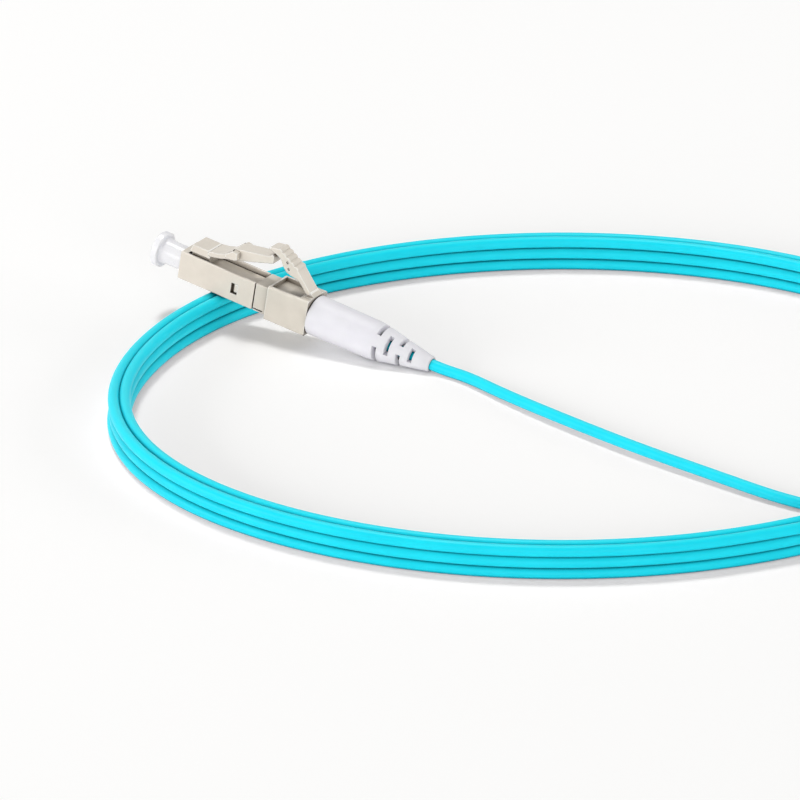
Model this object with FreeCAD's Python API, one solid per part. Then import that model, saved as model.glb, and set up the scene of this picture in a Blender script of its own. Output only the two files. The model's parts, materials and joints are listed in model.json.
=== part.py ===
"""LC fibre connector lying on the coil of its own lead.

The connector is built in a frame of its own: x runs forward from the cable exit along the optical
axis, y to the left, z up.  It is then tilted about Y and lifted, so that its boot lies on the ground
and its plug frame rests on the coil.  Millimetres and degrees throughout.
"""
import FreeCAD, Part
import math
import os

V = FreeCAD.Vector
os.makedirs("parts", exist_ok=True)

# ---- plug frame ----
PLUG_WIDTH = 4.5
PLUG_LENGTH = 13.22
PLUG_CORNER = 0.18
SEAM_GAP = 0.18
SEAM_ROUND = 0.11
FRONT_BORE_R = 1.90
FRONT_BORE_DEPTH = 3.2
STOP_THICKNESS = 0.8
STOP_BORE_R = 0.85
SPRING_BORE_R = 1.25
POCKET_WIDTH = 3.7
POCKET_DEPTH = 0.68
POCKET_FRONT = 1.2
GUTTER_WIDTH = 0.42
GUTTER_LOW = 0.7
GUTTER_SHALLOW = 1.34
WINDOW_LENGTH = 1.15
WINDOW_HEIGHT = 1.70
WINDOW_FRONT = 9.25
WINDOW_DROP = 0.15
TONGUE_CLEAR = 0.04

# ---- latch ----
LATCH_WIDTH = 3.5
LATCH_BLOCK_LENGTH = 3.5
LATCH_BLOCK_TOP = 3.84
LATCH_BLOCK_LIFT = 0.38
LATCH_PEDESTAL_INSET = 0.30
LATCH_OVERLAP = 1.25
LATCH_ARM_WIDTH = 2.6
LATCH_ROOT_THICKNESS = 0.80
LATCH_TAIL_RISE = 3.35
LATCH_TAIL_THICKNESS = 0.90
LATCH_LIP_HEIGHT = 0.42
LATCH_LIP_LENGTH = 0.55
LUG_BACK = 4.85
LUG_LENGTH = 2.05
HINGE_CLEAR = 0.025

# ---- rear shell ----
SHELL_LENGTH = 9.4
SHELL_NECK_LENGTH = 2.3
SHELL_HALF_WIDTH = 2.66
SHELL_TOP_FRONT = 2.78
SHELL_TOP_REAR = 3.02
SHELL_BOTTOM = 2.68
SHELL_CORNER_TOP = 0.34
SHELL_CORNER_BOTTOM = 0.22
SHELL_RECESS_WALL = 0.56
SHELL_RECESS_FRONT = 0.32
SHELL_RECESS_DEPTH = 0.62
SHELL_SADDLE_LENGTH = 1.75
SHELL_SADDLE_WIDTH = 3.3
SIDE_SLIT_LENGTH = 1.75
SIDE_SLIT_HEIGHT = 0.22
SIDE_SLIT_DEPTH = 0.26
SIDE_SLIT_DROP = 1.98

# ---- thumb lever ----
LEVER_WIDTH = 2.2
LEVER_THICKNESS = 0.72
LEVER_ROOT_INSET = 1.15
LEVER_ROOT_HEIGHT = 3.47
LEVER_SLOPE = 46.0
LEVER_ARM_LENGTH = 3.7
LEVER_PAD_REACH = 7.65
LEVER_PAD_HEIGHT = 4.62
LEVER_RIB_COUNT = 5
LEVER_RIB_PITCH = 0.90
LEVER_RIB_R = 0.50
LEVER_MARK_R = 0.24
LEVER_MARK_DEPTH = 0.15

# ---- ferrule and its spring ----
FERRULE_R = 0.625
FERRULE_LENGTH = 6.5
FERRULE_PROTRUSION = 2.0
FERRULE_TIP_CHAMFER = 0.15
FERRULE_SEAT_DEPTH = 2.2
FERRULE_TRAVEL = 0.9
FIBRE_LEAD = 0.6
FIBRE_GAP = 0.1
FIBRE_R = 0.0625
FLANGE_R = 1.18
FLANGE_LENGTH = 3.0
FLANGE_NOTCH = 0.25
STEM_R = 0.80
STEM_LENGTH = 3.3
STOP_CLEAR = 0.02
GUIDE_R = 0.62
GUIDE_BORE_R = 0.48
GUIDE_LENGTH = 10.5
SPRING_WIRE_R = 0.12
SPRING_MEAN_R = 1.0
SPRING_TURNS = 6.0

# ---- inner body ----
TONGUE_HEIGHT = 2.2
TONGUE_LENGTH = 4.9
TAB_PROUD = 0.35
TAB_LENGTH = 0.76
TAB_HEIGHT = 1.28
TAB_RELIEF = 0.30
BARREL_R = 1.60
BARREL_CLEAR = 0.03
BARREL_LENGTH = 7.2
CRIMP_BARREL_R = 1.15
CRIMP_BARREL_LENGTH = 7.6
CRIMP_GROOVES = 9
CRIMP_GROOVE_DEPTH = 0.08
INNER_BORE_R = 0.78
SPRING_SEAT_DEPTH = 3.4

# ---- cable ----
CABLE_D = 1.7
JACKET_WALL = 0.30
YARN_WALL = 0.12
BUFFER_R = 0.45
BUFFER_CLEAR = 0.02
JACKET_END = 13.4

# ---- crimp sleeve and boot ----
SLEEVE_WALL = 0.18
SLEEVE_LENGTH = 8.2
BOOT_LENGTH = 20.6
BOOT_TIP_R = 1.20
BOOT_SHOULDER_R = 2.95
BOOT_BASE_R = 3.08
BOOT_TAPER_LENGTH = 9.7
BOOT_COLLAR_R = 2.10
BOOT_COLLAR_LENGTH = 2.2
BOOT_CABLE_CLEAR = 0.08
BOOT_BORE_CLEAR = 0.05
BOOT_SEAM = 0.12
BOOT_CAVITY_TIP_R = 1.05
BOOT_CAVITY_BASE_R = 1.75
BOOT_CAVITY_START = 2.0
BOOT_CAVITY_END = 9.0
BOOT_CAVITY_RAMP = 0.6
SLOT_COUNT = 4
SLOT_PITCH = 1.87
SLOT_FIRST = 2.95
SLOT_WIDTH = 0.70
SLOT_LONG_ANGLE = 70.0
SLOT_SHORT_ANGLE = 38.0
SLOT_TURN = 31.0

# ---- dust cap ----
CAP_LENGTH = 5.0
CAP_FIT_CLEAR = 0.06
CAP_INSERTION = 3.1
CAP_FLARE_R = 2.06
CAP_FLANGE_R = 2.70
CAP_FLANGE_LENGTH = 1.1
CAP_FLANGE_EDGE = 0.22
CAP_BORE_CLEAR = 0.02
CAP_BORE_END = 0.6
CAP_DIMPLE_R = 1.5
CAP_DIMPLE_DEPTH = 0.25

# ---- coil of the lead ----
COIL_HALF_LONG = 64.16
COIL_HALF_SHORT = 56.54
COIL_LEVELS = 3
COIL_COLUMNS = 2
COIL_AXIS_TURN = 31.14
COIL_CROSSING = 141.57
COIL_CORNER = 0.8
GROUND_GAP = 0.01
REST_GAP = 0.12
REST_REACH = 35.8

# ---- route of the lead, from the cable exit: forward, left, height above ground ----
LEAD_ROUTE = [
    (-6.9, 0.64, 0.88),
    (-14.2, 3.45, 1.06),
    (-24.8, 6.8, 1.32),
    (-40.7, 10.8, 1.38),
    (-56.4, 13.4, 1.24),
    (-67.4, 15.05, 1.04),
    (-74.4, 14.8, 0.92),
    (-79.6, 11.2, 0.86),
    (-83.0, 4.6, 0.87),
    (-83.9, -5.2, 0.86),
    (-82.2, -15.9, 0.87),
    (-78.0, -26.4, 0.86),
    (-71.8, -36.2, 0.87),
    (-64.1, -44.2, 0.86),
]

# ---- places worked out from the sizes above ----
X_SHELL_REAR = BOOT_LENGTH
X_SHELL_FRONT = X_SHELL_REAR + SHELL_LENGTH
X_PLUG_REAR = X_SHELL_FRONT + SEAM_GAP
X_PLUG_FRONT = X_PLUG_REAR + PLUG_LENGTH
X_FRONT_BORE = X_PLUG_FRONT - FRONT_BORE_DEPTH
X_STOP = X_FRONT_BORE - STOP_THICKNESS
X_FERRULE_TIP = X_PLUG_FRONT + FERRULE_PROTRUSION
X_FERRULE_REAR = X_FERRULE_TIP - FERRULE_LENGTH
X_FLANGE_FRONT = X_STOP - STOP_CLEAR
X_FLANGE_REAR = X_FLANGE_FRONT - FLANGE_LENGTH
X_STEM_REAR = X_FLANGE_REAR - STEM_LENGTH
X_TONGUE_FRONT = X_PLUG_REAR + TONGUE_LENGTH
X_SPRING_SEAT = X_TONGUE_FRONT - SPRING_SEAT_DEPTH
X_BARREL_REAR = X_PLUG_REAR - BARREL_LENGTH
X_CRIMP_REAR = X_BARREL_REAR - CRIMP_BARREL_LENGTH
X_BLOCK_FRONT = X_PLUG_FRONT - POCKET_FRONT
X_LATCH_HINGE = X_BLOCK_FRONT - LATCH_BLOCK_LENGTH
Z_LATCH_HINGE = LATCH_BLOCK_TOP - LATCH_ROOT_THICKNESS / 2
X_LEVER_HINGE = X_SHELL_REAR + LEVER_ROOT_INSET
Z_LEVER_HINGE = LEVER_ROOT_HEIGHT
HALF = PLUG_WIDTH / 2
CABLE_R = CABLE_D / 2
STACK = COIL_LEVELS * CABLE_D
SLEEVE_BORE_R = CRIMP_BARREL_R + YARN_WALL


# ---- small builders ----
def box(x0, x1, y0, y1, z0, z1):
    return Part.makeBox(x1 - x0, y1 - y0, z1 - z0, V(x0, y0, z0))


def slab(x0, x1, half, z0, z1):
    return box(x0, x1, -half, half, z0, z1)


def rod(radius, x0, x1, y=0.0, z=0.0):
    return Part.makeCylinder(radius, x1 - x0, V(x0, y, z), V(1, 0, 0))


def cross_rod(radius, half, x, z):
    return Part.makeCylinder(radius, 2 * half, V(x, -half, z), V(0, 1, 0))


def tube(outer, inner, x0, x1):
    return rod(outer, x0, x1).cut(rod(inner, x0 - 1, x1 + 1))


def turned(points):
    """Solid of revolution about X from (x, radius) points."""
    wire = Part.makePolygon([V(x, 0, r) for x, r in points + points[:1]])
    return Part.Face(wire).revolve(V(0, 0, 0), V(1, 0, 0), 360)


def plate(points, half):
    """Side outline of (x, z) points, as wide as 2 * half."""
    wire = Part.makePolygon([V(x, -half, z) for x, z in points + points[:1]])
    return Part.Face(wire).extrude(V(0, 2 * half, 0))


def section_face(x, half, bottom, top, r_bottom, r_top):
    """Rounded rectangle across the axis at x."""
    turn = math.sqrt(0.5)
    spots = [(half, bottom, r_bottom), (half, top, r_top), (-half, top, r_top), (-half, bottom, r_bottom)]
    edges = []
    starts = []
    ends = []
    for i, (y, z, r) in enumerate(spots):
        sy = math.copysign(1, y)
        sz = -1 if i in (0, 3) else 1
        centre = V(x, y - sy * r, z - sz * r)
        side = V(x, y, z - sz * r)
        flat = V(x, y - sy * r, z)
        middle = centre + V(0, sy * r * turn, sz * r * turn)
        first, last = (flat, side) if i in (0, 2) else (side, flat)
        edges.append(Part.Arc(first, middle, last).toShape())
        starts.append(first)
        ends.append(last)
    wire_edges = []
    for i in range(4):
        wire_edges.append(edges[i])
        wire_edges.append(Part.LineSegment(ends[i], starts[(i + 1) % 4]).toShape())
    return Part.Wire(wire_edges)


def bar(x0, x1, half, bottom, top, r_bottom, r_top):
    """Rounded bar along the axis."""
    face = Part.Face(section_face(x0, half, bottom, top, r_bottom, r_top))
    return face.extrude(V(x1 - x0, 0, 0))


def mirrored(shape):
    return shape.mirror(V(0, 0, 0), V(0, 1, 0))


def round_edges(shape, radius, chosen):
    """Fillet the straight edges whose middle point passes the test."""
    edges = [e for e in shape.Edges if chosen(e.CenterOfMass, e)]
    return shape.makeFillet(radius, edges)


# ---- plug frame ----
def front_housing():
    body = bar(X_PLUG_REAR, X_PLUG_FRONT, HALF, -HALF, HALF, PLUG_CORNER, PLUG_CORNER)
    body = round_edges(body, PLUG_CORNER * 0.6, lambda c, e: c.x > X_PLUG_FRONT - 0.01)
    body = round_edges(body, SEAM_ROUND, lambda c, e: c.x < X_PLUG_REAR + 0.01)
    floor = HALF - POCKET_DEPTH
    pocket = slab(X_PLUG_REAR - 1, X_BLOCK_FRONT + 0.15, POCKET_WIDTH / 2, floor, HALF + 1)
    body = body.cut([pocket] + pocket_gutters(floor))
    body = body.fuse(latch_block(floor)).removeSplitter()
    body = body.cut(rod(FRONT_BORE_R, X_FRONT_BORE, X_PLUG_FRONT + 1))
    body = body.cut(rod(STOP_BORE_R, X_STOP - 1, X_FRONT_BORE + 1))
    body = body.cut(rod(SPRING_BORE_R, X_PLUG_REAR - 1, X_STOP))
    room = POCKET_WIDTH / 2 + TONGUE_CLEAR
    high = TONGUE_HEIGHT / 2 + TONGUE_CLEAR
    body = body.cut(slab(X_PLUG_REAR - 1, X_TONGUE_FRONT + TONGUE_CLEAR, room, -high, high))
    x1 = X_PLUG_FRONT - WINDOW_FRONT
    middle = -WINDOW_DROP
    window = slab(x1 - WINDOW_LENGTH, x1, HALF + 1, middle - WINDOW_HEIGHT / 2, middle + WINDOW_HEIGHT / 2)
    return body.cut(window)


def pocket_gutters(floor):
    """Deeper channels along both walls of the pocket, shallow over the inner body's tongue."""
    outer = POCKET_WIDTH / 2
    inner = outer - GUTTER_WIDTH
    step = X_TONGUE_FRONT + 0.25
    shallow = box(X_PLUG_REAR - 1, step, inner, outer, GUTTER_SHALLOW, floor + 0.1)
    deep = box(step, X_LATCH_HINGE - 0.1, inner, outer, GUTTER_LOW, floor + 0.1)
    return [shallow, deep, mirrored(shallow), mirrored(deep)]


def latch_block(floor):
    """The moulded root that the latch arm bends from."""
    low = HALF + LATCH_BLOCK_LIFT
    lean = 0.42
    outline = [
        (X_BLOCK_FRONT, low),
        (X_BLOCK_FRONT - lean, LATCH_BLOCK_TOP),
        (X_LATCH_HINGE, LATCH_BLOCK_TOP),
        (X_LATCH_HINGE, low),
    ]
    block = plate(outline, LATCH_WIDTH / 2)
    foot = slab(X_LATCH_HINGE + 0.1, X_BLOCK_FRONT - 0.3, LATCH_WIDTH / 2 - LATCH_PEDESTAL_INSET,
                floor - 0.05, low + 0.1)
    knuckle = cross_rod(LATCH_ROOT_THICKNESS / 2 + HINGE_CLEAR, LATCH_WIDTH, X_LATCH_HINGE, Z_LATCH_HINGE)
    return block.fuse(foot).cut(knuckle)


# ---- latch arm ----
def latch_outline():
    """Side outline of the arm, from the root's top, over the tail and back below."""
    x0 = X_LATCH_HINGE
    z0 = Z_LATCH_HINGE
    half = LATCH_ROOT_THICKNESS / 2
    x1 = X_LEVER_HINGE + LEVER_PAD_REACH - LATCH_OVERLAP
    tail_low = z0 - half + LATCH_TAIL_RISE - LATCH_TAIL_THICKNESS / 2
    tail_top = tail_low + LATCH_TAIL_THICKNESS
    lip = tail_top + LATCH_LIP_HEIGHT
    top = [
        (x0, z0 + half),
        (x0 - 1.1, z0 + half + 0.17),
        (x0 - 2.3, z0 + half + 0.55),
        (x0 - 2.9, z0 + half + 1.02),
        (x0 - 3.7, z0 + half + 1.82),
        (x0 - 4.1, z0 + half + 1.98),
        (x1 + LATCH_LIP_LENGTH + 0.35, tail_top),
        (x1 + LATCH_LIP_LENGTH, lip - 0.12),
        (x1 + LATCH_LIP_LENGTH - 0.15, lip),
        (x1 + 0.18, lip - 0.04),
        (x1, lip - 0.3),
    ]
    below = [
        (x1 + 0.05, tail_low),
        (x1 + 3.3, tail_low - 1.05),
        (x0 - 4.9, z0 - half + 1.12),
        (x0 - 3.1, z0 - half + 0.82),
        (x0 - 1.6, z0 - half + 0.34),
        (x0, z0 - half),
    ]
    return top + below


def latch_lug():
    """Ramped shoulder on each side of the arm."""
    x0 = X_LATCH_HINGE - LUG_BACK
    z0 = Z_LATCH_HINGE - LATCH_ROOT_THICKNESS / 2
    outline = [
        (x0, z0 + 1.42),
        (x0 + 0.12, z0 + 2.52),
        (x0 + 0.92, z0 + 2.62),
        (x0 + LUG_LENGTH, z0 + 1.72),
        (x0 + LUG_LENGTH, z0 + 1.25),
        (x0 + 1.0, z0 + 1.18),
    ]
    return plate(outline, HALF)


def latch_arm():
    arm = plate(latch_outline(), LATCH_ARM_WIDTH / 2)
    wide = plate(latch_outline(), LATCH_WIDTH / 2)
    neck_end = X_LATCH_HINGE - LUG_BACK + LUG_LENGTH - 0.9
    wide = wide.common(slab(neck_end, X_LATCH_HINGE, HALF, 0, 20))
    knuckle = cross_rod(LATCH_ROOT_THICKNESS / 2, LATCH_WIDTH / 2, X_LATCH_HINGE, Z_LATCH_HINGE)
    return arm.fuse([wide, latch_lug(), knuckle]).removeSplitter()


# ---- rear shell ----
def shell_block():
    """Outer form of the wide part, its top rising towards the rear."""
    x1 = X_SHELL_FRONT - SHELL_NECK_LENGTH
    rear = section_face(X_SHELL_REAR, SHELL_HALF_WIDTH, -SHELL_BOTTOM, SHELL_TOP_REAR,
                        SHELL_CORNER_BOTTOM, SHELL_CORNER_TOP)
    front = section_face(x1, SHELL_HALF_WIDTH, -SHELL_BOTTOM, SHELL_TOP_FRONT,
                         SHELL_CORNER_BOTTOM, SHELL_CORNER_TOP)
    block = Part.makeLoft([rear, front], True, True)
    return block


def shell_saddle():
    """Raised seat at the rear of the top, that the lever bends from."""
    x0 = X_SHELL_REAR
    x1 = X_SHELL_REAR + SHELL_SADDLE_LENGTH
    z0 = SHELL_TOP_FRONT - SHELL_RECESS_DEPTH - 0.1
    root = LEVER_THICKNESS / 2
    outline = [
        (x0, z0),
        (x0, Z_LEVER_HINGE - root * 0.9),
        (X_LEVER_HINGE - root * 1.5, Z_LEVER_HINGE + root * 0.15),
        (X_LEVER_HINGE - root * 0.8, Z_LEVER_HINGE + root * 0.75),
        (X_LEVER_HINGE, Z_LEVER_HINGE - root * 0.2),
        (X_LEVER_HINGE + root * 0.62, Z_LEVER_HINGE - root * 0.98),
        (x1, Z_LEVER_HINGE - root * 1.25),
        (x1, z0),
    ]
    narrow = plate(outline, LEVER_WIDTH / 2)
    skirt = [
        (x0, z0),
        (x0, SHELL_TOP_REAR + 0.12),
        (x1 - 0.25, SHELL_TOP_REAR + 0.02),
        (x1, SHELL_TOP_REAR - 0.1),
        (x1, z0),
    ]
    return narrow.fuse(plate(skirt, SHELL_SADDLE_WIDTH / 2))


def rear_housing():
    x1 = X_SHELL_FRONT - SHELL_NECK_LENGTH
    neck = bar(x1 - 0.5, X_SHELL_FRONT, HALF, -HALF, HALF, PLUG_CORNER, PLUG_CORNER)
    neck = round_edges(neck, SEAM_ROUND, lambda c, e: c.x > X_SHELL_FRONT - 0.01)
    shell = shell_block().fuse(neck)
    half = SHELL_HALF_WIDTH - SHELL_RECESS_WALL
    floor = SHELL_TOP_FRONT - SHELL_RECESS_DEPTH
    shell = shell.cut(slab(X_SHELL_REAR + SHELL_SADDLE_LENGTH, x1 - SHELL_RECESS_FRONT, half, floor, 10))
    shell = shell.fuse(shell_saddle()).removeSplitter()
    seat = cross_rod(LEVER_THICKNESS / 2 + HINGE_CLEAR, SHELL_HALF_WIDTH, X_LEVER_HINGE, Z_LEVER_HINGE)
    shell = shell.cut(seat)
    shell = shell.cut(rod(BARREL_R + BARREL_CLEAR, X_SHELL_REAR, X_SHELL_FRONT + 1))
    collar_room = X_SHELL_REAR + BOOT_COLLAR_LENGTH + BOOT_BORE_CLEAR
    shell = shell.cut(rod(BOOT_COLLAR_R + BOOT_BORE_CLEAR, X_SHELL_REAR - 1, collar_room))
    slit = box(X_SHELL_FRONT - SIDE_SLIT_LENGTH, X_SHELL_FRONT + 1, HALF - SIDE_SLIT_DEPTH, SHELL_HALF_WIDTH + 1,
               -SIDE_SLIT_DROP, -SIDE_SLIT_DROP + SIDE_SLIT_HEIGHT)
    return shell.cut([slit, mirrored(slit)])


# ---- thumb lever ----
def lever_points():
    """Named corners of the lever's side outline, from its hinge."""
    turn = math.radians(LEVER_SLOPE)
    along = V(math.cos(turn), 0, math.sin(turn))
    across = V(-math.sin(turn), 0, math.cos(turn))
    hinge = V(X_LEVER_HINGE, 0, Z_LEVER_HINGE)
    half = LEVER_THICKNESS / 2
    low = hinge - across * half
    high = hinge + across * half
    nose = hinge + V(LEVER_PAD_REACH, 0, LEVER_PAD_HEIGHT)
    return along, low, high, nose


def thumb_lever():
    along, low, high, nose = lever_points()
    bend_low = low + along * (LEVER_ARM_LENGTH * 0.62)
    bend_high = high + along * LEVER_ARM_LENGTH
    outline = [
        (high.x, high.z),
        (bend_high.x, bend_high.z),
        (nose.x - 1.75, nose.z + 0.42),
        (nose.x - 0.35, nose.z + 0.22),
        (nose.x, nose.z),
        (nose.x - 0.25, nose.z - 0.2),
        (nose.x - 1.1, nose.z - 0.42),
        (nose.x - 1.75, nose.z - 0.72),
        (nose.x - 2.35, nose.z - 1.1),
        (nose.x - 2.75, nose.z - 1.9),
        (nose.x - 3.55, nose.z - 2.72),
        (nose.x - 4.4, nose.z - 3.0),
        (bend_low.x, bend_low.z),
        (low.x, low.z),
    ]
    half = LEVER_WIDTH / 2
    lever = plate(outline, half)
    ribs = []
    fall = V(bend_high.x - (nose.x - 1.75), 0, bend_high.z - (nose.z + 0.42))
    fall.normalize()
    inward = V(-fall.z, 0, fall.x)
    if inward.z > 0:
        inward = inward * -1
    for i in range(LEVER_RIB_COUNT):
        centre = bend_high - fall * (LEVER_RIB_PITCH * (i + 0.5) - 0.15) + inward * (LEVER_RIB_R * 0.62)
        ribs.append(cross_rod(LEVER_RIB_R, half, centre.x, centre.z))
    knuckle = cross_rod(LEVER_THICKNESS / 2, half, X_LEVER_HINGE, Z_LEVER_HINGE)
    lever = lever.fuse(ribs + [knuckle]).removeSplitter()
    marks = []
    for dx, dz in [(-3.5, -1.13), (-3.85, -2.08)]:
        for side in (-1, 1):
            base = V(nose.x + dx, side * (half - LEVER_MARK_DEPTH), nose.z + dz)
            marks.append(Part.makeCylinder(LEVER_MARK_R, 1, base, V(0, side, 0)))
    return lever.cut(marks)


# ---- ferrule assembly ----
def ferrule():
    chamfer = FERRULE_TIP_CHAMFER
    body = turned([
        (X_FERRULE_REAR, 0), (X_FERRULE_REAR, FERRULE_R), (X_FERRULE_TIP - chamfer, FERRULE_R),
        (X_FERRULE_TIP, FERRULE_R - chamfer), (X_FERRULE_TIP, 0),
    ])
    return body.cut(rod(FIBRE_R, X_FERRULE_REAR - 1, X_FERRULE_TIP + 1))


def ferrule_flange():
    body = rod(FLANGE_R, X_FLANGE_REAR, X_FLANGE_FRONT).fuse(rod(STEM_R, X_STEM_REAR, X_FLANGE_REAR))
    for turn in range(4):
        notch = box(X_FLANGE_REAR + 0.9, X_FLANGE_FRONT + 1, FLANGE_R - FLANGE_NOTCH, FLANGE_R + 1, -0.25, 0.25)
        notch.rotate(V(0, 0, 0), V(1, 0, 0), 90 * turn)
        body = body.cut(notch)
    body = body.cut(rod(FERRULE_R, X_FERRULE_REAR, X_FLANGE_FRONT + 1))
    return body.cut(rod(GUIDE_R, X_STEM_REAR - 1, X_FERRULE_REAR)).removeSplitter()


def guide_tube():
    return tube(GUIDE_R, GUIDE_BORE_R, X_FERRULE_REAR - GUIDE_LENGTH, X_FERRULE_REAR)


def optical_fibre():
    return rod(FIBRE_R, X_FERRULE_REAR - FIBRE_LEAD, X_FERRULE_TIP)


def ferrule_spring():
    """Closed coil spring between the seat in the inner body and the flange."""
    length = X_FLANGE_REAR - X_SPRING_SEAT - 2 * SPRING_WIRE_R - 0.02
    helix = Part.makeHelix(length / SPRING_TURNS, length, SPRING_MEAN_R)
    profile = Part.Wire(Part.makeCircle(SPRING_WIRE_R, V(SPRING_MEAN_R, 0, 0), V(0, 1, 0)))
    spring = Part.Wire(helix.Edges).makePipeShell([profile], True, True)
    spring.rotate(V(0, 0, 0), V(0, 1, 0), 90)
    spring.translate(V(X_SPRING_SEAT + SPRING_WIRE_R + 0.01, 0, 0))
    return spring


# ---- inner body, cable end and crimp ----
def inner_body():
    half = POCKET_WIDTH / 2
    tongue = slab(X_PLUG_REAR - 0.05, X_TONGUE_FRONT, half, -TONGUE_HEIGHT / 2, TONGUE_HEIGHT / 2)
    tongue = tongue.common(bar(X_PLUG_REAR - 0.05, X_TONGUE_FRONT, half, -half, half, 0.3, 0.3))
    body = tongue.fuse(rod(BARREL_R, X_BARREL_REAR, X_PLUG_REAR))
    body = body.fuse(rod(CRIMP_BARREL_R, X_CRIMP_REAR, X_BARREL_REAR))
    x0 = X_PLUG_FRONT - WINDOW_FRONT - WINDOW_LENGTH + TONGUE_CLEAR
    top = WINDOW_HEIGHT / 2 - WINDOW_DROP - TONGUE_CLEAR
    inner = half - TAB_RELIEF
    low = -WINDOW_DROP - WINDOW_HEIGHT / 2
    x_window = x0 - TONGUE_CLEAR
    pit = box(x_window, x_window + WINDOW_LENGTH, inner, half + 1, low, low + WINDOW_HEIGHT)
    body = body.cut([pit, mirrored(pit)])
    tabs = []
    for side in (-1, 1):
        outer = half + TAB_PROUD
        wire = Part.makePolygon([
            V(x0, side * (inner - 0.1), top - TAB_HEIGHT), V(x0, side * outer, top - TAB_HEIGHT),
            V(x0 + TAB_LENGTH * 0.6, side * outer, top - TAB_HEIGHT),
            V(x0 + TAB_LENGTH, side * (half + 0.05), top - TAB_HEIGHT),
            V(x0 + TAB_LENGTH, side * (inner - 0.1), top - TAB_HEIGHT),
            V(x0, side * (inner - 0.1), top - TAB_HEIGHT),
        ])
        tabs.append(Part.Face(wire).extrude(V(0, 0, TAB_HEIGHT)))
    body = body.fuse(tabs).removeSplitter()
    body = body.cut(rod(INNER_BORE_R, X_CRIMP_REAR - 1, X_TONGUE_FRONT + 1))
    body = body.cut(rod(SPRING_BORE_R, X_SPRING_SEAT, X_TONGUE_FRONT + 1))
    pitch = (CRIMP_BARREL_LENGTH - 1.2) / CRIMP_GROOVES
    for i in range(CRIMP_GROOVES):
        x = X_CRIMP_REAR + 0.6 + pitch * i
        body = body.cut(tube(CRIMP_BARREL_R + 1, CRIMP_BARREL_R - CRIMP_GROOVE_DEPTH, x, x + pitch / 2))
    return body


def aramid_yarn():
    """Sleeve of yarn inside the jacket that opens out and lies over the crimp barrel."""
    inside = BUFFER_R + BUFFER_CLEAR
    outer = CABLE_R - JACKET_WALL
    over = CRIMP_BARREL_R
    flare = X_CRIMP_REAR - 0.7
    return turned([
        (0.0, inside), (0.0, outer), (flare - 0.4, outer),
        (X_CRIMP_REAR, over + YARN_WALL), (X_CRIMP_REAR + SLEEVE_LENGTH * 0.62, over + YARN_WALL),
        (X_CRIMP_REAR + SLEEVE_LENGTH * 0.62, over), (X_CRIMP_REAR - 0.02, over),
        (X_CRIMP_REAR - 0.02, over - 0.1), (flare, inside),
    ])


def fibre_buffer():
    return rod(BUFFER_R, 0.0, X_FERRULE_REAR - FIBRE_LEAD - FERRULE_TRAVEL - FIBRE_GAP)


def cable_jacket():
    return tube(CABLE_R, CABLE_R - JACKET_WALL, 0.0, X_CRIMP_REAR - 1.2)


def crimp_sleeve():
    """Stepped sleeve: wide over the barrel and yarn, narrow over the jacket."""
    x0 = X_CRIMP_REAR - 3.2
    x1 = X_CRIMP_REAR + SLEEVE_LENGTH * 0.64
    step = X_CRIMP_REAR - 1.1
    wide = SLEEVE_BORE_R + 0.01
    slim = CABLE_R + 0.01
    return turned([
        (x0, slim), (x0, slim + SLEEVE_WALL), (step, slim + SLEEVE_WALL),
        (step + 0.6, wide + SLEEVE_WALL), (x1, wide + SLEEVE_WALL), (x1, wide), (step + 0.6, wide), (step, slim),
    ])


# ---- boot ----
def boot_slot(index):
    """Pair of arc slots facing each other; every second pair is shorter and turned a quarter."""
    x = SLOT_FIRST + SLOT_PITCH * index - SLOT_WIDTH / 2
    ring = rod(BOOT_BASE_R + 1, x, x + SLOT_WIDTH)
    turned_pair = (SLOT_COUNT - 1 - index) % 2 == 1
    half_angle = math.radians(SLOT_SHORT_ANGLE if turned_pair else SLOT_LONG_ANGLE)
    reach = 4 * BOOT_BASE_R
    wedges = []
    for side in (-1, 1):
        wide = reach * math.sin(half_angle)
        high = side * reach * math.cos(half_angle)
        wire = Part.makePolygon([V(x, 0, 0), V(x, wide, high), V(x, -wide, high), V(x, 0, 0)])
        wedges.append(Part.Face(wire).extrude(V(SLOT_WIDTH, 0, 0)))
    slots = ring.common(Part.makeCompound(wedges))
    quarter = 90 if turned_pair else 0
    slots.rotate(V(0, 0, 0), V(1, 0, 0), SLOT_TURN + quarter)
    return slots


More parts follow.
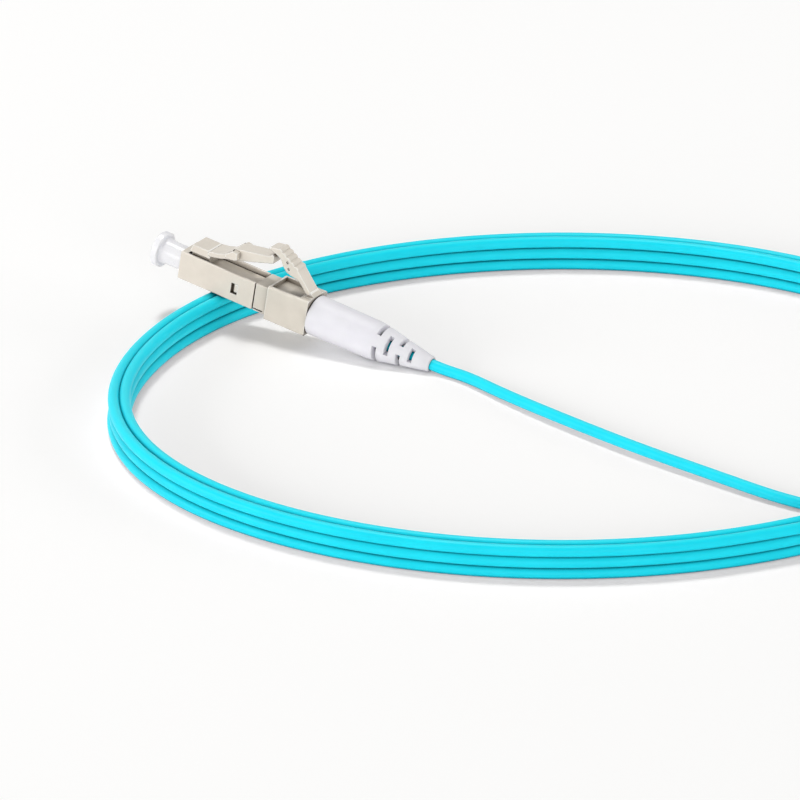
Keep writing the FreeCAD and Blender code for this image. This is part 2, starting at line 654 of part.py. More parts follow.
def boot():
    shoulder = BOOT_TAPER_LENGTH
    end = BOOT_LENGTH - BOOT_SEAM
    outer = turned([
        (0, 0), (0, BOOT_TIP_R - 0.12), (0.12, BOOT_TIP_R), (shoulder - 0.9, BOOT_SHOULDER_R - 0.15),
        (shoulder, BOOT_SHOULDER_R - 0.02), (shoulder + 0.9, BOOT_SHOULDER_R + 0.01),
        (end - 0.12, BOOT_BASE_R), (end, BOOT_BASE_R - 0.12), (end, BOOT_COLLAR_R),
        (BOOT_LENGTH + BOOT_COLLAR_LENGTH, BOOT_COLLAR_R),
        (BOOT_LENGTH + BOOT_COLLAR_LENGTH, 0),
    ])
    body = outer.cut([boot_slot(i) for i in range(SLOT_COUNT)])
    slim = CABLE_R + BOOT_CABLE_CLEAR
    sleeve = SLEEVE_BORE_R + SLEEVE_WALL + BOOT_BORE_CLEAR
    wide = BARREL_R + BOOT_BORE_CLEAR
    step = X_CRIMP_REAR - 1.4
    bore = turned([
        (-1, 0), (-1, slim), (BOOT_CAVITY_START, slim), (BOOT_CAVITY_START + BOOT_CAVITY_RAMP, BOOT_CAVITY_TIP_R),
        (BOOT_CAVITY_END, BOOT_CAVITY_BASE_R), (BOOT_CAVITY_END + BOOT_CAVITY_RAMP, slim),
        (X_CRIMP_REAR - 3.6, slim), (X_CRIMP_REAR - 3.4, slim + SLEEVE_WALL),
        (step - 0.5, slim + SLEEVE_WALL), (step, sleeve),
        (X_BARREL_REAR - 0.4, sleeve), (X_BARREL_REAR - 0.3, wide),
        (BOOT_LENGTH + BOOT_COLLAR_LENGTH + 1, wide), (BOOT_LENGTH + BOOT_COLLAR_LENGTH + 1, 0),
    ])
    return body.cut(bore)


# ---- dust cap ----
def dust_cap():
    tip = X_PLUG_FRONT + CAP_LENGTH
    flange = tip - CAP_FLANGE_LENGTH
    slim = FRONT_BORE_R - CAP_FIT_CLEAR
    edge = CAP_FLANGE_EDGE
    x0 = X_PLUG_FRONT - CAP_INSERTION
    body = turned([
        (x0, 0), (x0, slim - 0.15), (x0 + 0.15, slim), (X_PLUG_FRONT + 0.6, slim),
        (flange - 1.1, slim + 0.05), (flange - 0.35, (slim + CAP_FLARE_R) / 2), (flange, CAP_FLARE_R + 0.05),
        (flange, CAP_FLANGE_R - edge * 0.6), (flange + edge * 0.25, CAP_FLANGE_R - edge * 0.15),
        (flange + edge * 0.6, CAP_FLANGE_R), (tip - edge, CAP_FLANGE_R), (tip - edge * 0.3, CAP_FLANGE_R - edge * 0.3),
        (tip, CAP_FLANGE_R - edge), (tip, CAP_DIMPLE_R), (tip - CAP_DIMPLE_DEPTH, CAP_DIMPLE_R - 0.2),
        (tip - CAP_DIMPLE_DEPTH, 0),
    ])
    return body.cut(rod(FERRULE_R + CAP_BORE_CLEAR, x0 - 1, X_FERRULE_TIP + CAP_BORE_END))


# ---- how the connector lies ----
def rest_tilt():
    """Tilt at which the boot's shoulder and the frame's underside share the ground and the coil's top."""
    run = REST_REACH - BOOT_TAPER_LENGTH
    drop = BOOT_SHOULDER_R - HALF
    return math.degrees(math.asin((STACK + REST_GAP) / math.hypot(run, drop)) - math.atan2(drop, run))


def connector_pose(shapes):
    """Placement that tilts the connector and stands its box on the ground, centred on the origin."""
    tilt = FreeCAD.Placement(V(0, 0, 0), FreeCAD.Rotation(V(0, 1, 0), -rest_tilt()))
    lot = Part.makeCompound([s.transformed(tilt.toMatrix()) for s in shapes])
    low = lot.optimalBoundingBox(False, False)
    lift = V(-(low.XMin + low.XMax) / 2, 0, -low.ZMin)
    return FreeCAD.Placement(lift, FreeCAD.Rotation(V(0, 1, 0), -rest_tilt()))


def oval(half_long, half_short, height):
    ring = Part.Ellipse(V(0, 0, height), half_long, half_short).toShape()
    return Part.Wire([ring])


def coil_centre(pose):
    """Centre of the coil, so that its inner crest passes below the frame's contact line."""
    touch = pose.multVec(V(REST_REACH, 0, -HALF))
    angle = math.radians(COIL_CROSSING)
    local = V((COIL_HALF_LONG - CABLE_R) * math.cos(angle), (COIL_HALF_SHORT - CABLE_R) * math.sin(angle), 0)
    turned_local = FreeCAD.Rotation(V(0, 0, 1), COIL_AXIS_TURN + 180).multVec(local)
    return V(touch.x - turned_local.x, touch.y - turned_local.y, 0)


def cable_coil(pose):
    """One closed ring in place of the wound strands."""
    grow = COIL_COLUMNS * CABLE_D / 2
    outer = Part.Face(oval(COIL_HALF_LONG + grow, COIL_HALF_SHORT + grow, 0.0))
    inner = Part.Face(oval(COIL_HALF_LONG - grow, COIL_HALF_SHORT - grow, 0.0))
    coil = outer.cut(inner).extrude(V(0, 0, STACK))
    rims = [e for e in coil.Edges if e.isClosed()]
    coil = coil.makeFillet(COIL_CORNER, rims)
    coil.rotate(V(0, 0, 0), V(0, 0, 1), COIL_AXIS_TURN + 180)
    coil.translate(coil_centre(pose))
    return coil


def lead_points(pose):
    """Route points: straight out of the boot down to the ground, then along the ground."""
    start = pose.multVec(V(0, 0, 0))
    run = (start.z - CABLE_R - GROUND_GAP) / math.sin(math.radians(rest_tilt()))
    landing = pose.multVec(V(-run, 0, 0))
    return [start, landing] + [V(start.x + x, start.y + y, z) for x, y, z in LEAD_ROUTE]


def cable_lead(pose):
    """Tube along straight runs joined by tangent arcs."""
    points = lead_points(pose)
    edges = []
    last = points[0]
    for before, corner, after in zip(points, points[1:], points[2:]):
        back = before - corner
        ahead = after - corner
        turn = math.pi - back.getAngle(ahead)
        reach = 0.45 * min(back.Length, ahead.Length)
        radius = reach / math.tan(turn / 2)
        print("lead turn %5.1f deg  radius %6.1f  run %5.1f" % (math.degrees(turn), radius, ahead.Length))
        first = corner + V(back).normalize() * reach
        second = corner + V(ahead).normalize() * reach
        inward = (V(back).normalize() + V(ahead).normalize()).normalize()
        centre = corner + inward * (radius / math.cos(turn / 2))
        middle = centre - inward * radius
        edges.append(Part.LineSegment(last, first).toShape())
        edges.append(Part.Arc(first, middle, second).toShape())
        last = second
    edges.append(Part.LineSegment(last, points[-1]).toShape())
    path = Part.Wire(edges)
    ring = Part.Wire(Part.makeCircle(CABLE_R, points[0], points[1] - points[0]))
    lead = path.makePipeShell([ring], True, False)
    expected = math.pi * CABLE_R ** 2 * path.Length
    print("lead length %.1f  volume ratio %.5f" % (path.Length, lead.Volume / expected))
    return lead


def main():
    connector = {
        "front_housing": front_housing(),
        "latch_arm": latch_arm(),
        "rear_housing": rear_housing(),
        "trigger_lever": thumb_lever(),
        "ferrule": ferrule(),
        "ferrule_flange": ferrule_flange(),
        "ferrule_spring": ferrule_spring(),
        "guide_tube": guide_tube(),
        "optical_fibre": optical_fibre(),
        "inner_body": inner_body(),
        "fibre_buffer": fibre_buffer(),
        "aramid_yarn": aramid_yarn(),
        "cable_jacket": cable_jacket(),
        "crimp_sleeve": crimp_sleeve(),
        "boot": boot(),
        "dust_cap": dust_cap(),
    }
    pose = connector_pose([s for s in connector.values()])
    nodes = {name: shape.transformed(pose.toMatrix()) for name, shape in connector.items()}
    nodes["cable_lead"] = cable_lead(pose)
    nodes["cable_coil"] = cable_coil(pose)
    centre = coil_centre(pose)
    exit_point = pose.multVec(V(0, 0, 0))
    print("tilt %.5f  exit %.5f %.5f  coil centre %.5f %.5f" % (rest_tilt(), exit_point.x, exit_point.z, centre.x, centre.y))
    print("lever hinge %.4f %.4f  latch hinge %.4f %.4f" % (X_LEVER_HINGE, Z_LEVER_HINGE, X_LATCH_HINGE, Z_LATCH_HINGE))
    for name, shape in nodes.items():
        print("%-16s solids %d valid %s volume %.3f" % (name, len(shape.Solids), shape.isValid(), shape.Volume))
        shape.exportStep("parts/" + name + ".step")


main()
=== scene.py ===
"""Looks of the LC fibre connector on the coil of its lead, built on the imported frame."""
import json
import math

import bmesh
import bpy
from mathutils import Matrix, Quaternion, Vector


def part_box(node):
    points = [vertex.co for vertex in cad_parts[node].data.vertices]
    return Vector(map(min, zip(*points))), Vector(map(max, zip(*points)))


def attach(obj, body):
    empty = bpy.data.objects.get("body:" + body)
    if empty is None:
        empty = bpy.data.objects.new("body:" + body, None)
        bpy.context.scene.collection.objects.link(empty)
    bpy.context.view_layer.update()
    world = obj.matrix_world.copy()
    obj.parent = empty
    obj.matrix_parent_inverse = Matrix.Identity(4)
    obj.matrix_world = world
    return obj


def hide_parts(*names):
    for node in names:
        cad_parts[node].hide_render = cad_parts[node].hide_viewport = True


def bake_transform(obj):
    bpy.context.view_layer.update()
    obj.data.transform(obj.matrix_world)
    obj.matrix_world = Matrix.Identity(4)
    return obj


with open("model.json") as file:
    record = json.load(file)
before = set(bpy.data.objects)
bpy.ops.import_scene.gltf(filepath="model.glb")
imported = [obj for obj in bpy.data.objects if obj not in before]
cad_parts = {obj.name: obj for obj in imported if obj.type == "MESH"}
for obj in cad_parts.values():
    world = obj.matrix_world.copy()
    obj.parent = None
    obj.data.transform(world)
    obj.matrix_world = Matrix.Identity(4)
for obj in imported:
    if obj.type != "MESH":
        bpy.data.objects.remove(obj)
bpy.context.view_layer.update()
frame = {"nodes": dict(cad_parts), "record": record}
MM = 0.001

# ---------------------------------------------------------------- places, from the record
# length of the connector in millimetres, from where the cable leaves the boot to the plug's front
PLUG_FRONT = 43.4
plug_mount = next(m for m in frame["record"]["mounts"] if m["name"] == "plug_body")
AXIS = Vector(plug_mount["axis"]).normalized()
EXIT = Vector(plug_mount["pos_m"]) - AXIS * PLUG_FRONT * MM


def joint_place(name):
    """Place of a joint's hinge, in metres."""
    joints = frame["record"]["behaviour"]["joints"]
    return next(j for j in joints if j["name"] == name)["pos_m"]


# ---------------------------------------------------------------- colours and nodes
def colour(r, g, b):
    """Linear colour of display values from 0 to 255."""
    out = []
    for v in (r, g, b):
        v /= 255
        out.append(v / 12.92 if v <= 0.04045 else ((v + 0.055) / 1.055) ** 2.4)
    return (*out, 1.0)


def shade(rgb, step=0):
    """Linear colour of display values that are all moved by a step."""
    return colour(*[min(255, max(0, v + step)) for v in rgb])


WHITE = (1, 1, 1, 1)

# sockets of a Mix node for colours, which share their names with the sockets for numbers
MIX_FACTOR = 0
MIX_UNDER = 6
MIX_OVER = 7
MIX_RESULT = 2

NOISE_ROUGHNESS = 0.55
# parts of a noise's range over which it changes the colour and the roughness
COLOUR_SPAN = (0.3, 0.7)
ROUGH_SPAN = (0.25, 0.75)

# inner occlusion up to which a place counts as a sharp edge, and from which it doesn't
RIM_SHARP = (0.50, 0.80)
# upward share of an edge's normal where the painted highlight line fades in, and where the painted shade
# line does
RIM_UPPER = (-0.20, -0.05)
RIM_LOWER = (-0.12, -0.40)
# strength of the painted shade line at its darkest
RIM_DARKEST = 0.95

# rays sent out from each point
OCCLUSION_RAYS = 8
RIM_BEVEL_RAYS = 4
EDGE_BEVEL_RAYS = 6

# distance from a bending hinge within which no edge is rounded, and from which all are
HINGE_NEAR = 0.6 * MM
HINGE_FAR = 1.0 * MM


class Mat:
    """A Principled material whose base colour is laid in layers, each over the ones before."""

    def __init__(self, name, base, roughness, **sockets):
        self.material = bpy.data.materials.new(name)
        self.material.use_nodes = True
        self.material.diffuse_color = base
        self.tree = self.material.node_tree
        self.shader = next(n for n in self.tree.nodes if n.type == "BSDF_PRINCIPLED")
        self.geometry = self.tree.nodes.new("ShaderNodeNewGeometry").outputs
        self.skin = base
        self.set("Base Color", base)
        self.set("Roughness", roughness)
        for socket, value in sockets.items():
            self.set(socket.replace("_", " "), value)

    def put(self, value, socket):
        """Give a socket a plain value or another node's output."""
        if isinstance(value, bpy.types.NodeSocket):
            self.tree.links.new(value, socket)
        else:
            socket.default_value = value

    def set(self, socket, value):
        """Give one of the shader's own sockets a value or an output."""
        self.put(value, self.shader.inputs[socket])

    def node(self, kind, inputs, out, **settings):
        """Output of a new node, whose inputs are given values or other nodes' outputs."""
        n = self.tree.nodes.new("ShaderNode" + kind)
        for name, value in settings.items():
            setattr(n, name, value)
        for socket, value in inputs.items():
            self.put(value, n.inputs[socket])
        return n.outputs[out]

    def ramp(self, source, start, end, first, last):
        """Value that goes from first to last while the source goes from start to end."""
        limits = {"From Min": start, "From Max": end, "To Min": first, "To Max": last}
        return self.node("MapRange", {"Value": source, **limits}, "Result")

    def own_place(self, scale):
        """Place on the object in its own directions, each stretched by a scale."""
        own = self.node("TexCoord", {}, "Object")
        return self.node("Mapping", {"Vector": own, "Scale": scale}, "Vector")

    def upward(self, normal):
        """Upward share of a normal."""
        return self.node("SeparateXYZ", {"Vector": normal}, "Z")

    def noise(self, scale, detail, stretch=None):
        """Noise over the surface, scale in cycles per metre."""
        place = self.own_place(stretch) if stretch else self.geometry["Position"]
        look = {"Scale": scale, "Detail": detail, "Roughness": NOISE_ROUGHNESS}
        return self.node("TexNoise", {"Vector": place, **look}, "Fac")

    def occlusion(self, reach, **settings):
        """How open the place is within a reach, from 0 in a closed gap to 1 in the open."""
        settings["samples"] = OCCLUSION_RAYS
        return self.node("AmbientOcclusion", {"Distance": reach}, "AO", **settings)

    def lay(self, factor, over):
        """Lay a colour over the base colour so far, as strongly as the factor says."""
        layer = {MIX_FACTOR: factor, MIX_UNDER: self.skin, MIX_OVER: over}
        self.skin = self.node("Mix", layer, MIX_RESULT, data_type="RGBA")
        self.set("Base Color", self.skin)

    def vary_colour(self, noise, low, high):
        """Start the base colour as one that wanders between two colours."""
        self.skin = low
        self.lay(self.ramp(noise, *COLOUR_SPAN, 0.0, 1.0), high)

    def vary_rough(self, noise, low, high):
        """Let the roughness wander between two values."""
        self.set("Roughness", self.ramp(noise, *ROUGH_SPAN, low, high))

    def paint_top_highlight(self, light, start, end):
        """Painted highlight: lighten the base colour as the surface turns upwards."""
        self.lay(self.ramp(self.upward(self.geometry["Normal"]), start, end, 0.0, 1.0), light)

    def paint_gap_shade(self, dark, reach, closed=0.2, clear=0.85, dull=False):
        """Painted shade: darken the base colour in gaps and inner corners, and with dull take their
        shine away.
        """
        seen = self.occlusion(reach)
        if dull:
            shine = self.shader.inputs["Specular IOR Level"].default_value
            self.set("Specular IOR Level", self.ramp(seen, closed, clear, 0.0, shine))
        self.lay(self.ramp(seen, closed, clear, 1.0, 0.0), dark)

    def paint_edge_highlight_and_shade(self, light, dark, reach, width):
        """Thin outer edges: a painted highlight along the upper ones and painted shade along the lower
        ones.
        """
        sharp = self.ramp(self.occlusion(reach, inside=True), *RIM_SHARP, 1.0, 0.0)
        rounded = self.node("Bevel", {"Radius": width}, "Normal", samples=RIM_BEVEL_RAYS)
        up = self.upward(rounded)
        upper = self.ramp(up, *RIM_UPPER, 0.0, 1.0)
        lower = self.ramp(up, *RIM_LOWER, 0.0, RIM_DARKEST)
        for side, line in ((upper, light), (lower, dark)):
            self.lay(self.node("Math", {0: sharp, 1: side}, "Value", operation="MULTIPLY"), line)

    def bounce(self, tint):
        """Tint of the light that the surface sends on, apart from the colour that it shows."""
        self.lay(self.node("LightPath", {}, "Is Diffuse Ray"), tint)

    def away_from(self, hinge, value):
        """Value that is nothing beside a hinge line along Y and full a little further away."""
        flat = self.own_place((1.0, 0.0, 1.0))
        line = (hinge[0], 0.0, hinge[2])
        away = self.node("VectorMath", {0: flat, 1: line}, "Value", operation="DISTANCE")
        return self.ramp(away, HINGE_NEAR, HINGE_FAR, 0.0, value)

    def bump(self, *layers, edge=0.0, hinge=None):
        """Bump layers of (noise, strength, height), over edges rounded by the radius edge."""
        under = {}
        if edge:
            radius = self.away_from(hinge, edge) if hinge else edge
            under = {"Normal": self.node("Bevel", {"Radius": radius}, "Normal", samples=EDGE_BEVEL_RAYS)}
        for noise, strength, height in layers:
            relief = {"Height": noise, "Strength": strength, "Distance": height}
            under = {"Normal": self.node("Bump", {**relief, **under}, "Normal")}
        self.set("Normal", under["Normal"])


# ---------------------------------------------------------------- materials
BEIGE = (223, 215, 203)
# the same beige darkened for the rear housing, as painted shade
BEIGE_REAR_SHADED = (215, 208, 196)
BOOT_WHITE = (229, 228, 234)
CAP_WHITE = (240, 240, 244)
AQUA = (22, 222, 244)
# linear tint of the light that the cable sends on to what lies near it, paler than the cable
AQUA_BOUNCE = (0.60, 0.62, 0.66, 1.0)


def housing_material(name, edge, hinge=None, base=BEIGE, reach=1.6 * MM, clear=0.74):
    """Satin moulded plastic with painted brown shade in its gaps, a painted highlight on its thin upper
    edges and painted shade on its thin lower ones.
    """
    m = Mat(name, shade(base), 0.26, Specular_IOR_Level=0.5)
    broad = m.noise(scale=420.0, detail=2.0)
    fine = m.noise(scale=26000.0, detail=2.0)
    m.vary_colour(broad, shade(base, -3), shade(base, 3))
    # painted highlight along the thin upper edges, painted shade along the thin lower ones
    m.paint_edge_highlight_and_shade(colour(248, 245, 239), colour(112, 102, 90), reach=0.30 * MM, width=0.34 * MM)
    # painted brown shade in gaps and inner corners
    m.paint_gap_shade(colour(66, 51, 32), reach, closed=0.22, clear=clear)
    m.vary_rough(fine, 0.20, 0.29)
    m.bump((fine, 0.05, 0.02 * MM), (broad, 0.04, 0.2 * MM), edge=edge, hinge=hinge)
    return m.material


def boot_material():
    """Soft matt white, slightly lilac, that lets light in a little way."""
    m = Mat("boot_soft", shade(BOOT_WHITE), 0.48, Specular_IOR_Level=0.42, Subsurface_Weight=0.35,
            Subsurface_Scale=2.0 * MM, Subsurface_Radius=(0.9, 0.85, 0.95))
    broad = m.noise(scale=300.0, detail=2.0)
    fine = m.noise(scale=16000.0, detail=3.0)
    m.vary_colour(broad, shade(BOOT_WHITE, -2), shade(BOOT_WHITE, 3))
    # painted shade in the boot's gaps and inner corners
    m.paint_gap_shade(colour(140, 141, 156), reach=0.6 * MM)
    m.vary_rough(fine, 0.42, 0.54)
    m.bump((fine, 0.10, 0.03 * MM), edge=0.12 * MM)
    return m.material


def cap_material():
    """Milky white plastic, smoother than the boot."""
    m = Mat("cap_clear_white", shade(CAP_WHITE), 0.28, Specular_IOR_Level=0.5, Subsurface_Weight=0.35,
            Subsurface_Scale=2.5 * MM, Subsurface_Radius=(1.0, 1.0, 1.05), Transmission_Weight=0.05)
    broad = m.noise(scale=350.0, detail=2.0)
    fine = m.noise(scale=14000.0, detail=2.0)
    m.vary_colour(broad, shade(CAP_WHITE, -2), shade(CAP_WHITE, 3))
    # painted shade in the cap's gaps and inner corners
    m.paint_gap_shade(colour(182, 184, 196), reach=1.1 * MM)
    m.vary_rough(fine, 0.22, 0.34)
    m.bump((fine, 0.05, 0.02 * MM), edge=0.1 * MM)
    return m.material


def jacket_material(name):
    """Cable jacket with a painted highlight on its tops and painted shade, without shine, in the grooves
    between its strands.
    """
    m = Mat(name, shade(AQUA), 0.36, Specular_IOR_Level=0.15, Subsurface_Weight=0.25,
            Subsurface_Scale=1.2 * MM, Subsurface_Radius=(0.10, 0.90, 1.0))
    broad = m.noise(scale=160.0, detail=2.0)
    fine = m.noise(scale=9000.0, detail=3.0)
    m.vary_colour(broad, shade(AQUA, -2), shade(AQUA, 3))
    # painted highlight on the strands' upward-facing tops
    m.paint_top_highlight(colour(36, 229, 247), start=0.72, end=0.97)
    # painted shade in the grooves between strands, with their shine taken away
    m.paint_gap_shade(colour(0, 136, 160), reach=1.2 * MM, closed=0.12, clear=0.70, dull=True)
    m.bounce(AQUA_BOUNCE)
    m.vary_rough(fine, 0.36, 0.46)
    m.bump((fine, 0.08, 0.03 * MM), (broad, 0.10, 0.4 * MM))
    return m.material


def plain_material(name, rgb, roughness, scale=9000.0, strength=0.08, spread=5, **sockets):
    """One colour with a fine grain in its colour, roughness and surface."""
    m = Mat(name, shade(rgb), roughness, **sockets)
    fine = m.noise(scale, detail=3.0)
    m.vary_colour(fine, shade(rgb, -spread), shade(rgb, spread))
    m.vary_rough(fine, roughness * 0.85, min(1.0, roughness * 1.2))
    m.bump((fine, strength, 0.03 * MM))
    return m.material


def turned_metal(name, rgb, roughness):
    """Metal with fine turning marks round the connector's axis."""
    m = Mat(name, shade(rgb), roughness, Metallic=1.0)
    marks = m.noise(scale=4000.0, detail=2.0, stretch=(8.0, 0.4, 0.4))
    m.vary_colour(marks, shade(rgb, -10), shade(rgb, 8))
    m.vary_rough(marks, roughness * 0.7, roughness * 1.3)
    m.bump((marks, 0.12, 0.03 * MM))
    return m.material


def yarn_material():
    """Golden fibres that run along the connector."""
    m = Mat("yarn_aramid", colour(226, 196, 96), 0.7, Sheen_Weight=0.3)
    strands = m.noise(scale=12000.0, detail=3.0, stretch=(0.06, 1.0, 1.0))
    m.vary_colour(strands, colour(196, 160, 62), colour(240, 214, 122))
    m.bump((strands, 0.6, 0.1 * MM))
    return m.material


# radii by which the shading rounds the edges
HOUSING_EDGE = 0.17 * MM
ARM_EDGE = 0.12 * MM
INNER_EDGE = 0.06 * MM
latch_hinge = joint_place("latch_flex")
lever_hinge = joint_place("trigger_press")

MATERIALS = {
    "front_housing": housing_material("housing_front", HOUSING_EDGE, latch_hinge),
    # rear housing: the darkened beige, with painted shade reaching further and deeper into its recess
    "rear_housing": housing_material("housing_rear", HOUSING_EDGE, lever_hinge, BEIGE_REAR_SHADED,
                                     reach=3.0 * MM, clear=0.97),
    "latch_arm": housing_material("housing_latch", ARM_EDGE, latch_hinge),
    "trigger_lever": housing_material("housing_lever", ARM_EDGE, lever_hinge),
    "inner_body": housing_material("housing_inner", INNER_EDGE),
    "boot": boot_material(),
    "dust_cap": cap_material(),
    "ferrule": plain_material("ceramic_white", (238, 236, 228), 0.16, scale=20000.0, strength=0.02,
                              spread=3, Subsurface_Weight=0.2, Subsurface_Scale=0.6 * MM),
    "ferrule_flange": turned_metal("flange_steel", (176, 177, 180), 0.28),
    "ferrule_spring": turned_metal("spring_steel", (168, 169, 172), 0.24),
    "guide_tube": plain_material("liner_clear", (224, 227, 222), 0.3, spread=3),
    "optical_fibre": plain_material("glass_core", (228, 240, 244), 0.05, spread=2,
                                    Transmission_Weight=0.9),
    "fibre_buffer": plain_material("buffer_aqua", (38, 182, 198), 0.45, spread=4),
    "aramid_yarn": yarn_material(),
    "cable_jacket": jacket_material("jacket_inside_boot"),
    "crimp_sleeve": turned_metal("crimp_alloy", (196, 197, 202), 0.33),
}
for node, material in MATERIALS.items():
    materials = frame["nodes"][node].data.materials
    materials.clear()
    materials.append(material)

# ---------------------------------------------------------------- the lead, in millimetres
CABLE_D = 1.7
GROUND_GAP = 0.01
# route from the boot to the coil: x and y from the cable's exit, z from the ground
LEAD_ROUTE = [
    (-6.9, 0.64, 0.88),
    (-14.2, 3.45, 1.06),
    (-24.8, 6.8, 1.32),
    (-40.7, 10.8, 1.38),
    (-56.4, 13.4, 1.24),
    (-67.4, 15.05, 1.04),
    (-74.4, 14.8, 0.92),
    (-79.6, 11.2, 0.86),
    (-83.0, 4.6, 0.87),
    (-83.9, -5.2, 0.86),
    (-82.2, -15.9, 0.87),
    (-78.0, -26.4, 0.86),
    (-71.8, -36.2, 0.87),
    (-64.1, -44.2, 0.86),
]

# oval of the coil, over the middle line between its two columns
COIL_HALF_LONG = 64.16
COIL_HALF_SHORT = 56.54
# turn of its long axis from X, to the end from which the winding's angles count
COIL_TURN = math.radians(31.14 + 180)
coil_low, coil_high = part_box("cable_coil")
COIL_CENTRE = (Vector(coil_low) + Vector(coil_high)) / 2 / MM

# winding, in degrees from the coil's long axis: its start, its end in the last turn, and the angle
# between its points
FULL_TURN = 360.0
QUARTER_TURN = 90
FIRST_ANGLE = 32.0
LAST_ANGLE = 310.0
STEP = 10.0
# the spline passes its points at this share of their distance, so they stand further out
SHRINK = math.cos(math.radians(STEP / 2))

# places of the turns, in strand widths off the middle line and in layers
SLOTS = [(-0.5, 0), (0.5, 0), (0.5, 1), (-0.5, 1), (-0.5, 2), (0.5, 2)]
# where the strand changes to the next place, how much earlier each turn, and over what angle
CHANGE_AT = -3.0
CHANGE_BACK = 10.0
CHANGE_SPAN = 12.0

# places where the wound coil bulges or flattens: angle, spread in degrees, millimetres outwards
SWELLS = [(162.0, 15.0, -0.45), (205.0, 26.0, 0.6)]
# slow unevenness of turns wound by hand: waves of size, rate and start
WAVES = [(1.0, 1.37, 2.1), (0.6, 2.71, 0.4)]
WAVES_MOST = sum(size for size, rate, start in WAVES)
# how far they move the strand for a size of 1
WAVER_OUT = 0.09
WAVER_UP = 0.03

# steps of the mesh between two points of the spline, and in its round
SPLINE_STEPS = 6
ROUND_STEPS = 8


def smooth(t):
    """Ease from 0 to 1 while t goes from 0 to 1."""
    t = min(1.0, max(0.0, t))
    return t * t * (3 - 2 * t)


def slot_at(total):
    """Offset and layer after a total angle of winding, which starts in the lowest layer."""
    offset, layer = SLOTS[0]
    for k, (before, after) in enumerate(zip(SLOTS, SLOTS[1:])):
        middle = FULL_TURN * (k + 1) + CHANGE_AT - CHANGE_BACK * k
        done = smooth((total - middle) / CHANGE_SPAN + 0.5)
        offset += (after[0] - before[0]) * done
        layer += (after[1] - before[1]) * done
    return offset, layer


def swell(angle):
    """How far the winding leaves the plain oval, outwards, at an angle round the coil."""
    out = 0.0
    for middle, spread, amount in SWELLS:
        away = (angle - middle + FULL_TURN / 2) % FULL_TURN - FULL_TURN / 2
        out += amount * math.exp(-(away / spread) ** 2)
    return out


def waver(total):
    """How uneven the winding is after a total angle, up to WAVES_MOST to either side."""
    angle = math.radians(total)
    return sum(size * math.sin(rate * angle + start) for size, rate, start in WAVES)


def winding():
    """Control points of the coil's turns."""
    points = []
    end = FULL_TURN * (len(SLOTS) - 1) + LAST_ANGLE
    for k in range(int((end - FIRST_ANGLE) / STEP) + 1):
        total = FIRST_ANGLE + STEP * k
        offset, layer = slot_at(total)
        grow = offset * CABLE_D + swell(total) + WAVER_OUT * waver(total)
        angle = math.radians(total)
        x = (COIL_HALF_LONG + grow) * math.cos(angle) / SHRINK
        y = (COIL_HALF_SHORT + grow) * math.sin(angle) / SHRINK
        p = Matrix.Rotation(COIL_TURN, 3, "Z") @ Vector((x, y, 0))
        loose = WAVER_UP * (waver(total + QUARTER_TURN) + WAVES_MOST) * min(layer, 1.0)
        points.append((COIL_CENTRE.x + p.x, COIL_CENTRE.y + p.y, CABLE_D * (layer + 0.5) + loose))
    return points


def lead_points():
    """Control points from the boot straight to the ground, and along the route to the coil."""
    start = EXIT / MM
    run = (start.z - CABLE_D / 2 - GROUND_GAP) / AXIS.z
    landing = start - AXIS * run
    route = [(start.x + x, start.y + y, z) for x, y, z in LEAD_ROUTE]
    return [tuple(start), tuple(landing)] + route


def make_cord():
    """The whole lead as one cord, from the boot to its bare end on top of the coil."""
    points = lead_points() + winding()
    cu = bpy.data.curves.new("lead_cord", "CURVE")
    cu.dimensions = "3D"
    sp = cu.splines.new("NURBS")
    sp.points.add(len(points) - 1)
    for p, co in zip(sp.points, points):
        p.co = (co[0] * MM, co[1] * MM, co[2] * MM, 1.0)
    sp.order_u = 3
    sp.use_endpoint_u = True
    sp.resolution_u = SPLINE_STEPS
    cu.bevel_depth = CABLE_D / 2 * MM
    cu.bevel_resolution = ROUND_STEPS
    cu.use_fill_caps = True
    cu.materials.append(jacket_material("jacket_aqua"))
    ob = bpy.data.objects.new("lead_cord", cu)
    bpy.context.scene.collection.objects.link(ob)
    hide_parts("cable_lead", "cable_coil")
    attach(ob, "plug")


def make_spring():
    """Spring between its seat in the inner body and the ferrule's flange, as a copy of the part's mesh
    that takes its place.
    """
    mesh = frame["nodes"]["ferrule_spring"].data.copy()
    ob = bpy.data.objects.new("spring_coil", mesh)
    bpy.context.scene.collection.objects.link(ob)
    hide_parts("ferrule_spring")
    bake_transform(ob)


# ---------------------------------------------------------------- floor, light, camera
FLOOR_HALF = 3.0
FLOOR_GRID = 8
FLOOR_ROUGHNESS = 0.9
# the floor's brightness as a source of bounced light, and to the camera, where it also glows a little
FLOOR_BOUNCE = 0.95
FLOOR_SEEN = 0.99
FLOOR_GLOW = 0.09

WORLD_SEEN = (0.98, 0.985, 0.982, 1)
WORLD_TINT = (1.0, 0.995, 0.985, 1)
WORLD_STRENGTH = 0.29

# lamps, all turned to a point near the coil's middle: name, place, size, watts, tint
LAMP_AIM = Vector((-0.04, 0.0, 0.0))
LAMPS = [
    ("key_top", (0.424, -0.304, 1.5), (0.34, 0.34), 10.2, (1.0, 0.998, 0.99)),
    ("fill_front", (-1.16, 1.60, 0.44), (2.0, 0.60), 14.6, (1.0, 0.995, 0.985)),
    ("fill_right", (-0.90, -0.42, 0.30), (1.0, 0.36), 2.5, (1.0, 0.997, 0.99)),
    ("fill_left", (0.65, 0.70, 0.24), (1.0, 0.36), 5.0, (1.0, 0.997, 0.99)),
]

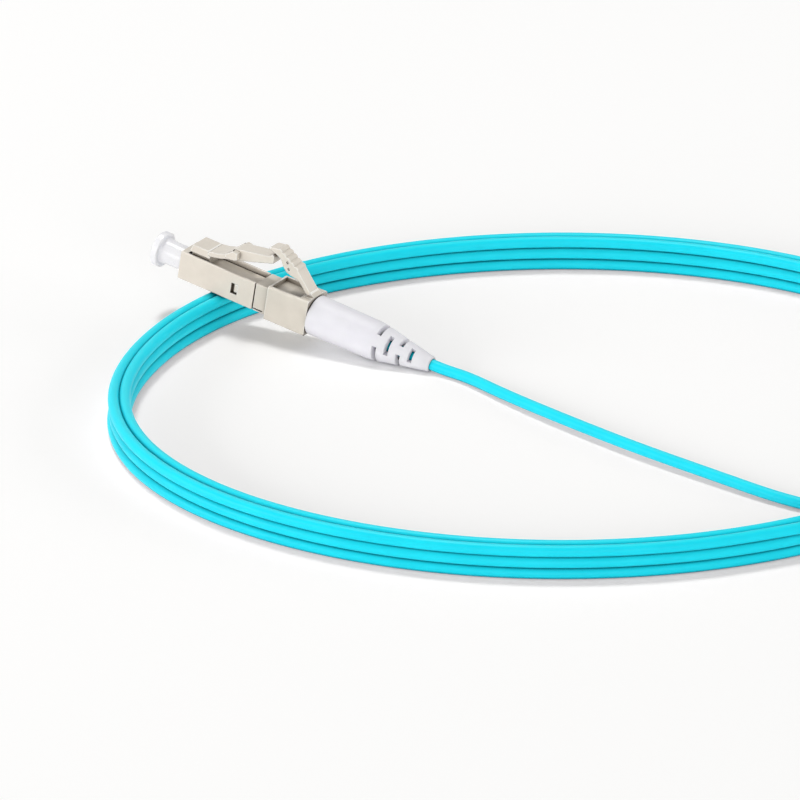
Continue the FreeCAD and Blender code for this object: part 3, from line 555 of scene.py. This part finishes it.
# camera round the coil's middle: degrees, metres, and a focal length in millimetres
VIEW_AZIMUTH = 211.14
VIEW_ELEVATION = 23.5
VIEW_DISTANCE = 1.5
VIEW_LENS = 463.7
SENSOR_WIDTH = 36.0
# degrees by which it then turns to the side and up
VIEW_PAN = 0.8995
VIEW_LIFT = 0.0898
CLIP_START = 0.05
CLIP_END = 20.0


def seen_rays(tree):
    """Output that is 1 for camera, glossy and transmission rays."""
    path = tree.nodes.new("ShaderNodeLightPath").outputs
    seen = path["Is Camera Ray"]
    for kind in ("Is Glossy Ray", "Is Transmission Ray"):
        either = tree.nodes.new("ShaderNodeMath")
        either.operation = "MAXIMUM"
        tree.links.new(seen, either.inputs[0])
        tree.links.new(path[kind], either.inputs[1])
        seen = either.outputs[0]
    return seen


def make_floor():
    """Plain floor: white to the camera, a little darker as a source of bounced light."""
    me = bpy.data.meshes.new("floor")
    bm = bmesh.new()
    bmesh.ops.create_grid(bm, x_segments=FLOOR_GRID, y_segments=FLOOR_GRID, size=FLOOR_HALF)
    bm.to_mesh(me)
    bm.free()
    ob = bpy.data.objects.new("floor", me)
    bpy.context.scene.collection.objects.link(ob)
    m = Mat("floor_white", WHITE, FLOOR_ROUGHNESS, Specular_IOR_Level=0.0, Emission_Color=WHITE)
    seen = seen_rays(m.tree)
    m.set("Base Color", m.ramp(seen, 0.0, 1.0, FLOOR_BOUNCE, FLOOR_SEEN))
    m.set("Emission Strength", m.ramp(seen, 0.0, 1.0, 0.0, FLOOR_GLOW))
    me.materials.append(m.material)


def make_lamp(name, place, size, watts, tint):
    """Rectangular lamp that faces the aim."""
    lamp = bpy.data.lights.new(name, "AREA")
    lamp.shape = "RECTANGLE"
    lamp.size, lamp.size_y = size
    lamp.energy = watts
    lamp.color = tint
    ob = bpy.data.objects.new(name, lamp)
    bpy.context.scene.collection.objects.link(ob)
    ob.location = place
    ob.rotation_mode = "QUATERNION"
    ob.rotation_quaternion = (LAMP_AIM - Vector(place)).to_track_quat("-Z", "Y")


def make_world():
    """White to the camera, and a weaker even light on the object."""
    world = bpy.data.worlds.new("studio")
    bpy.context.scene.world = world
    world.use_nodes = True
    tree = world.node_tree
    tree.nodes.clear()
    out = tree.nodes.new("ShaderNodeOutputWorld")
    mix = tree.nodes.new("ShaderNodeMixShader")
    tree.links.new(seen_rays(tree), mix.inputs[0])
    for socket, tint, strength in ((1, WORLD_TINT, WORLD_STRENGTH), (2, WORLD_SEEN, 1.0)):
        sky = tree.nodes.new("ShaderNodeBackground")
        sky.inputs["Color"].default_value = tint
        sky.inputs["Strength"].default_value = strength
        tree.links.new(sky.outputs[0], mix.inputs[socket])
    tree.links.new(mix.outputs[0], out.inputs["Surface"])


def make_camera():
    """Camera that looks at the coil's middle and then turns a little off it."""
    a = math.radians(VIEW_AZIMUTH)
    e = math.radians(VIEW_ELEVATION)
    back = Vector((math.sin(a) * math.cos(e), -math.cos(a) * math.cos(e), math.sin(e)))
    hub = Vector((COIL_CENTRE.x * MM, COIL_CENTRE.y * MM, 0))
    place = hub + back * VIEW_DISTANCE
    look = (hub - place).to_track_quat("-Z", "Y")
    pan = Quaternion((0, 1, 0), math.radians(VIEW_PAN))
    lift = Quaternion((1, 0, 0), math.radians(VIEW_LIFT))
    data = bpy.data.cameras.new("photo_view")
    data.sensor_width = SENSOR_WIDTH
    data.lens = VIEW_LENS
    data.clip_start = CLIP_START
    data.clip_end = CLIP_END
    ob = bpy.data.objects.new("photo_view", data)
    bpy.context.scene.collection.objects.link(ob)
    ob.location = place
    ob.rotation_mode = "QUATERNION"
    ob.rotation_quaternion = look @ pan @ lift
    bpy.context.scene.camera = ob


make_cord()
make_spring()
make_floor()
make_world()
for settings in LAMPS:
    make_lamp(*settings)
make_camera()
bpy.context.scene.view_settings.view_transform = "Standard"
